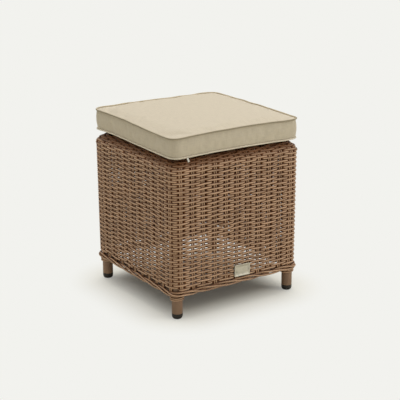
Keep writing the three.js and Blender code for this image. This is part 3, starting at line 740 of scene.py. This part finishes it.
class OTTOMAN_OT_leg_collars(bpy.types.Operator):
    """Winds a few turns of strand round each leg under the border"""

    bl_idname = "ottoman.leg_collars"
    bl_label = "Leg Collars"

    def execute(self, context):
        weave = context.scene.ottoman_weave
        rod, pitch = in_mm(weave, "collar_rod", "collar_pitch")
        turns, gap = weave.collar_turns, 0.3
        share = np.linspace(0, turns, turns * 40 + 1)
        angle = 2 * np.pi * share
        out = np.stack([np.cos(angle), np.sin(angle), 0 * angle], -1)
        coil = out * (LEG_RADIUS + gap + rod / 2)
        coil[:, 2] = BORDER_LOW.z - gap - rod / 2 - pitch * (turns - share)
        material = wicker()
        for place, (side_x, side_y) in CORNERS.items():
            path = coil + [side_x * LEG_PLACE, side_y * LEG_PLACE, 0]
            points, faces, lay = sweep([path], [out], rod, rod, 10)
            node = (f"leg_collar_{place}",)
            make_piece(f"collar_strand_{place}", points, faces, material, "body", "wicker", node, lay)
        return {"FINISHED"}


# Frame


def leg_profile():
    """Half widths and heights of a leg tube, its foot eased and its top end spun in under the shoulder."""
    outer, inner, bottom, top = LEG_RADIUS, LEG_BORE, LEG_LOW.z, LEG_HIGH.z
    return [
        (inner + 0.25, bottom), (outer - 0.35, bottom), (outer - 0.1, bottom + 0.12), (outer, bottom + 0.4),
        (outer, bottom + 3), (outer, top - 12), (outer, top - 9), (outer - 0.6, top - 6.2),
        (outer - 2.2, top - 3), (outer - 4.4, top - 0.7), (outer - 6, top), (outer - 6.8, top - 0.4),
        (outer - 6.4, top - 1.4), (inner - 2.4, top - 4), (inner - 0.7, top - 7), (inner, top - 9.5),
        (inner, bottom + 0.3),
    ]


def dress(node, material, bevel=0.0):
    """Gives a CAD node its finish and, if asked, eases its sharp edges by so many millimetres."""
    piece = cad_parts[node]
    piece.data.materials.clear()
    piece.data.materials.append(material)
    if bevel:
        ease = piece.modifiers.new("Eased edges", "BEVEL")
        ease.width, ease.segments, ease.limit_method = bevel * MM, 2, "ANGLE"
        ease.angle_limit = math.radians(40)


class OTTOMAN_OT_frame(bpy.types.Operator):
    """Makes the leg tubes, and finishes them, the rails and the seat bars in satin powder coat"""

    bl_idname = "ottoman.frame"
    bl_label = "Tube Frame"

    def execute(self, context):
        material = powder_coat()
        for place in CORNERS:
            made = lathe(leg_profile(), place)
            make_piece(f"leg_tube_{place}", *made, material, "body", "powder_coat", (f"leg_{place}",))
        rails = [f"{level}_rail_{side}" for level in ("top", "bottom") for side in SIDES]
        for name in rails + [f"seat_bar_{index}" for index in (1, 2, 3)]:
            dress(name, material)
        return {"FINISHED"}


def cap_profile():
    """Half widths and heights of a foot cap, with its domed foot, dished sole and hollow barbed spigot."""
    outer, sole, foot, dome, dish, thin = LEG_RADIUS, 8.5, 14.0, 9.0, 0.9, 0.05
    spigot, bore, top, barbs, barb_out, barb_high = 11.4, 9.4, CAP_HIGH.z, 3, 0.8, 2.4
    profile = [(thin, dish), (sole - 2.9, dish), (sole - 2.6, 0.6), (sole - 2.2, 0.0), (sole, 0.0)]
    for bend in np.linspace(0, math.pi / 2, 12)[1:]:
        profile.append((sole + (outer - sole) * math.sin(bend), dome * (1 - math.cos(bend))))
    profile += [(outer, foot - 0.7), (outer - 0.1, foot - 0.2), (outer - 0.4, foot), (spigot, foot)]
    for barb in range(barbs):
        low = foot + (top - foot) * (barb + 1) / (barbs + 1) - barb_high / 2
        profile += [(spigot, low), (spigot + barb_out, low), (spigot, low + barb_high)]
    return profile + [(spigot, top), (bore, top), (bore, foot), (thin, foot)]


class OTTOMAN_OT_foot_caps(bpy.types.Operator):
    """Turns the four moulded foot caps, with their barbed spigots"""

    bl_idname = "ottoman.foot_caps"
    bl_label = "Foot Caps"

    def execute(self, context):
        material = cap_plastic()
        for place in CORNERS:
            made = lathe(cap_profile(), place)
            make_piece(f"cap_{place}", *made, material, "body", "foot_plastic", (f"foot_cap_{place}",))
        return {"FINISHED"}


def rounded_outline(half_x, half_z, corner):
    """Points round an upright rounded rectangle."""
    points = []
    for quarter, (side_x, side_z) in enumerate(((1, 1), (-1, 1), (-1, -1), (1, -1))):
        for turn in np.linspace(quarter * math.pi / 2, (quarter + 1) * math.pi / 2, 6):
            x = side_x * (half_x - corner) + corner * math.cos(turn)
            points.append((x, side_z * (half_z - corner) + corner * math.sin(turn)))
    return points


class OTTOMAN_OT_plate(bpy.types.Operator):
    """Casts the small bare metal plate on the front, with a low rim round a sunk field"""

    bl_idname = "ottoman.plate"
    bl_label = "Front Plate"

    def execute(self, context):
        width, height, corner = 49.0, 32.0, 2.0
        centre = (PLATE_LOW + PLATE_HIGH) / 2
        face, back = PLATE_LOW.y, PLATE_HIGH.y
        # Marks for the finish: the sides, at -1, get painted shade.
        side, rim, field = -1.0, 1.0, 0.0
        steps = (
            (0.3, back, side), (0, back - 0.3, side), (0, face + 0.5, side), (0.15, face + 0.15, rim),
            (0.5, face, rim), (1.8, face, rim), (2.1, face + 0.15, rim), (2.3, face + 0.6, field),
            (9.0, face + 0.6, field),
        )
        tilt = Matrix.Rotation(math.radians(1.5), 3, "Y")
        points, rims = [], []
        for inset, y, part in steps:
            place = Vector((centre.x, y, centre.z))
            for x, z in rounded_outline(width / 2 - inset, height / 2 - inset, max(corner - inset, 0.4)):
                points.append(tilt @ Vector((x, 0, z)) + place)
                rims.append((part, 0, 0))
        faces = skin(len(steps), len(points) // len(steps))
        material, lay = brushed_plate(), {"rim": rims}
        make_piece("front_plate_cast", points, faces, material, "body", "plate_metal", ("front_plate",), lay)
        return {"FINISHED"}


# Cushion


def seam_height(turn, seam, drifts):
    """Height of a seam round the cushion: its filling has let it droop or rise by the drift at each turn."""
    around = np.linspace(0, 4, 400, endpoint=False)
    drift = np.interp(around, *zip(*drifts), period=4)
    return seam + np.interp(turn, around, smoothed(drift, 37, "wrap"), period=4)


def base_height(reach, seam):
    """Height of the cover's underside: it lies on the body and rounds up to the lower seam."""
    share = np.clip((reach - REST_HALF) / (SEAM_HALF - REST_HALF), 0, 1)
    return CUSHION_BASE + (seam - CUSHION_BASE) * share ** 1.7


def cushion_grid(across, up):
    """A closed box of six gridded panels: each point's column, row and layer, and the faces."""
    keys = [
        (i, j, k) for k in range(up + 1) for j in range(across + 1) for i in range(across + 1)
        if i in (0, across) or j in (0, across) or k in (0, up)
    ]
    index = {key: number for number, key in enumerate(keys)}
    corners, n = [], across
    for j in range(n):
        for i in range(n):
            corners.append(((i, j, up), (i + 1, j, up), (i + 1, j + 1, up), (i, j + 1, up)))
            corners.append(((i, j, 0), (i, j + 1, 0), (i + 1, j + 1, 0), (i + 1, j, 0)))
    for k in range(up):
        for i in range(n):
            corners.append(((i, 0, k), (i + 1, 0, k), (i + 1, 0, k + 1), (i, 0, k + 1)))
            corners.append(((n, i, k), (n, i + 1, k), (n, i + 1, k + 1), (n, i, k + 1)))
            corners.append(((i + 1, n, k), (i, n, k), (i, n, k + 1), (i + 1, n, k + 1)))
            corners.append(((0, i + 1, k), (0, i, k), (0, i, k + 1), (0, i + 1, k + 1)))
    return np.array(keys, float), [[index[corner] for corner in face] for face in corners]


def cushion_form(across, up):
    """The unfilled cover: flat panels sewn to an upright boxing, its sides drawn in between the corners.
    Gives its points, its faces and what the seams need to know of each point."""
    keys, faces = cushion_grid(across, up)
    a, b = 2 * keys[:, 0] / across - 1, 2 * keys[:, 1] / across - 1
    level = keys[:, 2] / up
    ring = np.maximum(np.abs(a), np.abs(b))
    front, right = -b >= np.abs(a), a > np.abs(b)
    rear, left = (b >= np.abs(a)) & ~front, -a > np.abs(b)
    side = np.select([front, right, rear, left], [0, 1, 2, 3])
    share = np.select([front, right, rear, left], [a, b, -a, -b]) / np.maximum(ring, 1e-9)
    straight = 2 * (SEAM_HALF - SEAM_CORNER)
    whole = straight + math.pi / 2 * SEAM_CORNER
    turn = (side + (share * whole / 2 + straight / 2) / whole) % 4
    bow = np.clip(1 - share ** 2, 0, 1) * SEAM_DRAW * ring
    bulge = 1.6 * np.clip(4 * level * (1 - level), 0, 1)
    half = (SEAM_HALF + bulge) * ring - bow
    x, y, _, _ = round_square(turn, half, np.maximum(SEAM_CORNER * ring, 0.01), SEAM_HALF, SEAM_CORNER)
    lower, upper = seam_height(turn, LOWER_SEAM, LOWER_DRIFT), seam_height(turn, UPPER_SEAM, UPPER_DRIFT)
    z = lower + (upper - lower) * level
    top, bottom = level == 1, level == 0
    crown = 3.5 * np.clip(1 - ring ** 2, 0, 1) ** 0.7
    z = np.where(top, UPPER_SEAM + (upper - UPPER_SEAM) * ring ** 2 + crown, z)
    z = np.where(bottom, base_height(SEAM_HALF * ring, lower), z)
    seamed = (ring == 1) & (top | bottom)
    z = z + seamed * 0.5 * ripple(turn / 4, 0 * z, 41, 60)
    panel = (top | bottom) & (ring < 1)
    from_seam = np.minimum(level, 1 - level) * (UPPER_SEAM - LOWER_SEAM)
    away = np.where(panel, (1 - ring) * SEAM_HALF, from_seam)
    form = {"ring": ring, "turn": turn, "level": level, "seamed": seamed, "away": away, "whole": whole}
    return np.stack([x, y, z], -1), faces, form


def places_of(mesh):
    """The points of a mesh as rows of an array, in millimetres."""
    places = np.empty(len(mesh.vertices) * 3, np.float32)
    mesh.vertices.foreach_get("co", places)
    return places.reshape(-1, 3) / MM


def fill(piece, seams, pressure):
    """Blows the cover up under cloth pressure with its seams held, and gives the points in millimetres."""
    held = piece.vertex_groups.new(name="seams")
    held.add([int(i) for i in np.flatnonzero(seams)], 1.0, "REPLACE")
    cloth = piece.modifiers.new("Filling", "CLOTH")
    made = cloth.settings
    made.quality, made.mass, made.time_scale = 6, 0.25, 1.0
    made.tension_stiffness = made.compression_stiffness = 18
    made.shear_stiffness, made.bending_stiffness = 8, 1.2
    made.use_pressure, made.uniform_pressure_force = True, pressure
    made.shrink_min = made.shrink_max = -0.012
    made.vertex_group_mass = held.name
    made.pin_stiffness = 1.0
    made.effector_weights.gravity = 0
    scene = bpy.context.scene
    for step in range(1, 21):
        scene.frame_set(step)
    shown = piece.evaluated_get(bpy.context.evaluated_depsgraph_get())
    filled = places_of(shown.to_mesh())
    shown.to_mesh_clear()
    piece.modifiers.remove(cloth)
    scene.frame_set(1)
    return filled


def settle(points, start, swell):
    """Limits how far points moved, rests the base on the body and keeps the rear flat along the zip."""
    moved = points - start
    size = np.linalg.norm(moved, axis=1, keepdims=True)
    points = start + moved * np.minimum(1, swell / np.maximum(size, 1e-6))
    points[:, 2] = np.maximum(points[:, 2], CUSHION_BASE)
    flat_long, flat_high, ease, behind = 164.0, 22.0, 14.0, 1.6
    middle = (CHAIN_LOW.z + CHAIN_HIGH.z) / 2
    along = np.clip((flat_long - np.abs(points[:, 0])) / ease, 0, 1)
    beside = np.clip((flat_high - np.abs(points[:, 2] - middle)) / ease, 0, 1)
    rear = (points[:, 1] > 180) * along * beside
    points[:, 1] += rear * (CHAIN_LOW.y + behind - points[:, 1])
    return points


def cloth_lay(mesh, form):
    """Stores how the threads of each panel lie and how far the nearest seam is, in millimetres, and creases
    the seams."""
    places = places_of(mesh)
    whole = form["whole"]
    around = form["turn"] * whole
    lay = np.empty((len(mesh.loops), 3), np.float32)
    seam = np.empty((len(mesh.loops), 3), np.float32)
    for face in mesh.polygons:
        corners = list(face.vertices)
        flat = abs(face.normal.z) > 0.7 and min(form["ring"][v] for v in corners) < 1
        turns = [around[v] for v in corners]
        wrapped = max(turns) - min(turns) > 2 * whole
        for loop, vertex, run in zip(face.loop_indices, corners, turns):
            run += 4 * whole if wrapped and run < whole else 0
            x, y, z = places[vertex]
            lay[loop] = (x, y, 0) if flat else (run, z, 0)
            seam[loop] = (run, form["away"][vertex], form["level"][vertex] * 40)
    for key, values in (("cloth", lay), ("seam", seam)):
        layer = mesh.attributes.new(key, "FLOAT_VECTOR", "CORNER")
        layer.data.foreach_set("vector", values.ravel())
    seamed, level = form["seamed"], form["level"]
    ends = (edge.vertices for edge in mesh.edges)
    on_seam = [float(seamed[a] and seamed[b] and level[a] == level[b]) for a, b in ends]
    mesh.attributes.new("crease_edge", "FLOAT", "EDGE").data.foreach_set("value", on_seam)


def seam_cord(points, form, level, lift, cord):
    """A cord's smooth path beside the seam at this level, and its outward directions. Lift is the angle, in
    degrees, at which the cord stands above the seam or hangs below it."""
    ring = np.flatnonzero((form["ring"] == 1) & (form["level"] == level))
    path = points[ring[np.argsort(form["turn"][ring])]]
    near = [np.roll(path, shift, 0) for shift in (1, 0, -1, -2)]
    steps = []
    for t in (0, 1 / 3, 2 / 3):
        weights = ((1 - t) ** 3, 3 * t ** 3 - 6 * t ** 2 + 4, 1 + 3 * t + 3 * t ** 2 - 3 * t ** 3, t ** 3)
        steps.append(sum(weight * place for weight, place in zip(weights, near)) / 6)
    path = np.stack(steps, 1).reshape(-1, 3)
    ahead = normalised(np.roll(path, -1, 0) - np.roll(path, 1, 0))
    out = normalised(np.cross(ahead, [0, 0, 1.0]))
    reach, lift = cord / 2 + 0.1, math.radians(lift)
    return path + out * reach * math.cos(lift) + np.array([0, 0, reach * math.sin(lift)]), out


class OTTOMAN_OT_cushion(bpy.types.Operator):
    """Sews, fills and pipes the box cushion, with its foam inside"""

    bl_idname = "ottoman.cushion"
    bl_label = "Box Cushion"

    def execute(self, context):
        cushion = context.scene.ottoman_cushion
        thread, cord, swell = in_mm(cushion, "thread", "cord", "swell")
        across, up = 56, 10
        start, faces, form = cushion_form(across, up)
        cloth = canvas("Polyester canvas, woven", tuple(cushion.cover), thread, "cloth", 0.1, pucker=True)
        node = ("cushion_cover",)
        piece = make_piece("cushion_cover_sewn", start, faces, cloth, "cushion", "cover_cloth", node)
        points = start
        points = fill(piece, form["seamed"], cushion.pressure)
        points = settle(points, start, swell)
        piece.data.vertices.foreach_set("co", (points * MM).astype(np.float32).ravel())
        piece.data.update()
        cloth_lay(piece.data, form)
        rounder = piece.modifiers.new("Rounded", "SUBSURF")
        rounder.levels = rounder.render_levels = 1
        bias = partial(canvas, thread=thread, attribute="lay", contrast=0.16, turn=math.radians(45))
        # Painted shade on the upper cord's outer side, and painted light in the lower cord's paler colour.
        for name, level, lift, colour, outer in (
            ("piping_top", 1, 35, cushion.piping, 0.55), ("piping_bottom", 0, -68, cushion.lower_piping, 1.0)
        ):
            cloth = bias(f"Polyester canvas, bias cut, {name}", tuple(colour), outer=outer)
            path, out = seam_cord(points, form, level, lift, cord)
            made, faces, lay = sweep([path], [out], cord, cord, 10, closed=True)
            make_piece(f"{name}_cord", made, faces, cloth, "cushion", "piping_cloth", (name,), lay)
        make_foam()
        return {"FINISHED"}


def make_foam():
    """The cut foam block that the cover holds."""
    low = CUSHION_BASE + 2.2
    profile = (
        (100, low), (158, low), (178, low + 6), (187.5, 438), (189.5, 443), (189.5, 462), (187.5, 467),
        (175, 470), (120, 473.5), (60, 475.5),
    )
    sides = 96
    turn = np.arange(0, 4, 4 / sides)
    rings = []
    for half, height in profile:
        corner = SEAM_CORNER * half / SEAM_HALF
        x, y, _, _ = round_square(turn, half, corner, half, corner)
        rings.append(np.stack([x, y, np.full(len(x), height)], -1))
    points, faces = np.concatenate(rings), skin(len(rings), sides)
    block = make_piece("foam_block", points, faces, foam(), "cushion", "foam", ("foam_core",))


class OTTOMAN_OT_tag(bpy.types.Operator):
    """Folds the small bare ribbon tag that hangs from the lower seam"""

    bl_idname = "ottoman.tag"
    bl_label = "Seam Tag"

    def execute(self, context):
        long, wide, gap, thick, bow = 11.0, 5.0, 0.35, 0.18, 0.5
        down = np.linspace(0, long - gap, 9)
        swing = bow * np.sin(math.pi * down / long)
        fold = np.linspace(0.3, math.pi - 0.3, 6)
        y = np.concatenate([-gap - swing, -gap * np.cos(fold), gap - swing[::-1]])
        z = np.concatenate([-down, gap - long - gap * np.sin(fold), -down[::-1]])
        path = np.stack([0 * y, y, z], -1)
        out = np.cross(normalised(np.gradient(path, axis=0)), [1.0, 0, 0])
        points, faces, _ = sweep([path], [out], wide, thick, 8)
        lean = Euler((math.radians(-6), math.radians(-18), 0), "XYZ").to_matrix()
        root = Vector((-157.0, -199.98, LOWER_SEAM))
        points = [lean @ Vector(point) + root for point in points]
        make_piece("seam_tag_ribbon", points, faces, satin_ribbon(), "cushion", "tag_cloth", ("seam_tag",))
        return {"FINISHED"}


class OTTOMAN_OT_zip(bpy.types.Operator):
    """Lays the zip's tape and coils in the rear boxing, and finishes its slider and pull"""

    bl_idname = "ottoman.zip"
    bl_label = "Zip"

    def execute(self, context):
        low, high = CHAIN_LOW, CHAIN_HIGH
        middle, face = (low.z + high.z) / 2, high.y
        pitch, wire, reach_in, reach_up, apart, sunk = 1.6, 0.62, 0.75, 0.95, 1.25, 1.15
        turns = int((high.x - low.x) / pitch)
        share = np.linspace(0, 1, turns * 8)
        angle = 2 * np.pi * share * turns
        x = low.x + 1 + share * (high.x - low.x - 2)
        y = face - sunk + reach_in * np.cos(angle)
        paths, outs = [], []
        for side in (-1, 1):
            paths.append(np.stack([x, y, middle + side * (apart + reach_up * np.sin(angle))], -1))
            outs.append(np.stack([0 * x, np.cos(angle), side * np.sin(angle)], -1))
        points, faces, lay = sweep(paths, outs, wire, wire, 5)
        make_piece("zip_coils", points, faces, coil_nylon(), "cushion", "zip_tape", ("zip_chain",), lay)
        margin, width, thick, steps, behind = 4.0, 13.0, 0.5, 60, 2.2
        x = np.linspace(low.x - margin, high.x + margin, steps)
        path = np.stack([x, np.full(steps, face - behind), np.full(steps, middle)], -1)
        out = np.broadcast_to([0.0, 1.0, 0.0], path.shape)
        tape = canvas("Polyester tape, woven", linear("#b7aa8e"), 1.0, "lay", 0.15)
        points, faces, lay = sweep([path], [out], width, thick, 12)
        make_piece("zip_tape", points, faces, tape, "cushion", "zip_tape", (), lay)
        metal = zip_metal()
        for node in ("zip_slider", "zip_pull"):
            dress(node, metal, bevel=0.25)
        return {"FINISHED"}


# Stage


def floor_sheet(pale):
    """A matt paper sweep: it takes the shadow near the object and fades into the backdrop's colour."""
    reach = 30.0
    mesh = bpy.data.meshes.new("floor")
    corners = [(x * reach, y * reach, 0) for x, y in CORNERS.values()]
    mesh.from_pydata(corners, [], [(0, 1, 2, 3)])
    floor = bpy.data.objects.new("floor", mesh)
    bpy.context.collection.objects.link(floor)
    material, node = blank("Paper sweep, matt")
    material.node_tree.nodes.clear()
    warm = tuple(c * k for c, k in zip(pale, (0.98, 0.955, 0.85, 1.0)))
    matt = node("BsdfDiffuse", {"Color": warm})
    glow = node("Emission", {"Color": pale, "Strength": 1.0})
    # The fade starts at a square of this half width, in metres, under the object.
    square = (0.12, 0.12, 0.0)
    outside = node("TexCoord").outputs["Object"]
    for operation, other in (("ABSOLUTE", square), ("SUBTRACT", square), ("MAXIMUM", (0.0, 0.0, 0.0))):
        outside = node("VectorMath", {0: outside, 1: other}, operation=operation)
    away = node("VectorMath", {0: outside}, operation="LENGTH").outputs["Value"]
    # Under the object the floor keeps 4% of the backdrop's glow, painted light that lifts its shadow.
    ends = {"From Max": 0.2, "To Min": 0.04}
    fade = node("MapRange", {"Value": away, **ends}, interpolation_type="SMOOTHSTEP")
    ray = node("LightPath").outputs["Is Camera Ray"]
    share = node("Math", {0: fade, 1: ray}, operation="MULTIPLY")
    node("OutputMaterial", {"Surface": node("MixShader", {0: share, 1: matt, 2: glow})})
    mesh.materials.append(material)


def soft_world(pale, ambient):
    """Studio light, strongest from above. In its place the camera and metal see the backdrop's colour."""
    world = bpy.data.worlds.new("Studio")
    bpy.context.scene.world = world
    world.use_nodes = True
    tree = world.node_tree
    tree.nodes.clear()
    node = partial(add, tree)
    ray = node("LightPath")
    seen = ray.outputs["Is Camera Ray"]
    for kind in ("Is Glossy Ray", "Is Transmission Ray"):
        seen = node("Math", {0: seen, 1: ray.outputs[kind]}, operation="MAXIMUM")
    shown = node("Background", {"Color": pale, "Strength": 1.0})
    way = node("TexCoord").outputs["Generated"]
    rise = node("SeparateXYZ", {"Vector": way}).outputs["Z"]
    level = node("MapRange", {"Value": rise, "To Min": ambient * 0.4, "To Max": ambient * 1.85})
    light = node("Background", {"Color": (1.0, 0.975, 0.925, 1.0), "Strength": level})
    node("OutputWorld", {"Surface": node("MixShader", {0: seen, 1: light, 2: shown})})


def lamp(name, place, aim, size, power):
    """A square softbox that looks at a point."""
    data = bpy.data.lights.new(name, "AREA")
    data.shape, data.size, data.energy = "SQUARE", size, power
    data.color = (1.0, 0.985, 0.96)
    box = bpy.data.objects.new(name, data)
    bpy.context.collection.objects.link(box)
    box.location = place
    box.rotation_euler = (Vector(aim) - Vector(place)).to_track_quat("-Z", "Y").to_euler()


def place_camera(scene, distance):
    """The camera at the photograph's angle: 34 degrees left of the front, 17.6 degrees above level."""
    azimuth, pitch, roll = math.radians(-34.0), math.radians(17.61), math.radians(-0.3)
    target = Vector((0.01447, 0.00005, 0.23555))
    level = math.cos(pitch)
    back = Vector((math.sin(azimuth) * level, -math.cos(azimuth) * level, math.sin(pitch)))
    data = bpy.data.cameras.new("Camera")
    data.lens, data.sensor_width = 109.73, 36.0
    camera = bpy.data.objects.new("Camera", data)
    bpy.context.collection.objects.link(camera)
    turned = (-back).to_track_quat("-Z", "Y").to_matrix().to_4x4() @ Matrix.Rotation(roll, 4, "Z")
    camera.matrix_world = Matrix.Translation(target + back * distance) @ turned
    scene.camera = camera


class OTTOMAN_OT_stage(bpy.types.Operator):
    """Sets the pale floor, the soft lamps and the camera"""

    bl_idname = "ottoman.stage"
    bl_label = "Stage"

    def execute(self, context):
        stage = context.scene.ottoman_stage
        pale = tuple(stage.backdrop)
        context.scene.view_settings.view_transform = "Standard"
        floor_sheet(pale)
        soft_world(pale, stage.ambient)
        lamp("Overhead softbox", (0.5, 0.8, 4.0), (0, 0, 0.2), 3.2, stage.overhead)
        lamp("Side softbox", (2.3, -2.4, 2.2), (0, 0, 0.25), 1.6, stage.side)
        place_camera(context.scene, stage.distance)
        return {"FINISHED"}


# Panel and start

STEPS = (
    OTTOMAN_OT_woven_wall, OTTOMAN_OT_woven_seat, OTTOMAN_OT_border, OTTOMAN_OT_leg_collars,
    OTTOMAN_OT_frame, OTTOMAN_OT_foot_caps, OTTOMAN_OT_plate, OTTOMAN_OT_cushion, OTTOMAN_OT_tag,
    OTTOMAN_OT_zip, OTTOMAN_OT_stage,
)
GROUPS = {
    "ottoman_weave": OttomanWeave, "ottoman_frame": OttomanFrame,
    "ottoman_cushion": OttomanCushion, "ottoman_stage": OttomanStage,
}


class OTTOMAN_PT_sidebar(bpy.types.Panel):
    bl_label = "Ottoman"
    bl_idname = "OTTOMAN_PT_sidebar"
    bl_space_type = "VIEW_3D"
    bl_region_type = "UI"
    bl_category = "Ottoman"

    def draw(self, context):
        for group in GROUPS:
            box = self.layout.box()
            settings = getattr(context.scene, group)
            for name in settings.__annotations__:
                box.prop(settings, name)
        for step in STEPS:
            self.layout.operator(step.bl_idname)


def register():
    for kind in (*GROUPS.values(), *STEPS, OTTOMAN_PT_sidebar):
        bpy.utils.register_class(kind)
    for name, group in GROUPS.items():
        setattr(bpy.types.Scene, name, PointerProperty(type=group))


def unregister():
    for name in GROUPS:
        delattr(bpy.types.Scene, name)
    for kind in (OTTOMAN_PT_sidebar, *reversed(STEPS), *reversed(list(GROUPS.values()))):
        bpy.utils.unregister_class(kind)


def main():
    register()
    for step in STEPS:
        group, name = step.bl_idname.split(".")
        getattr(getattr(bpy.ops, group), name)()


if __name__ == "__main__":
    main()
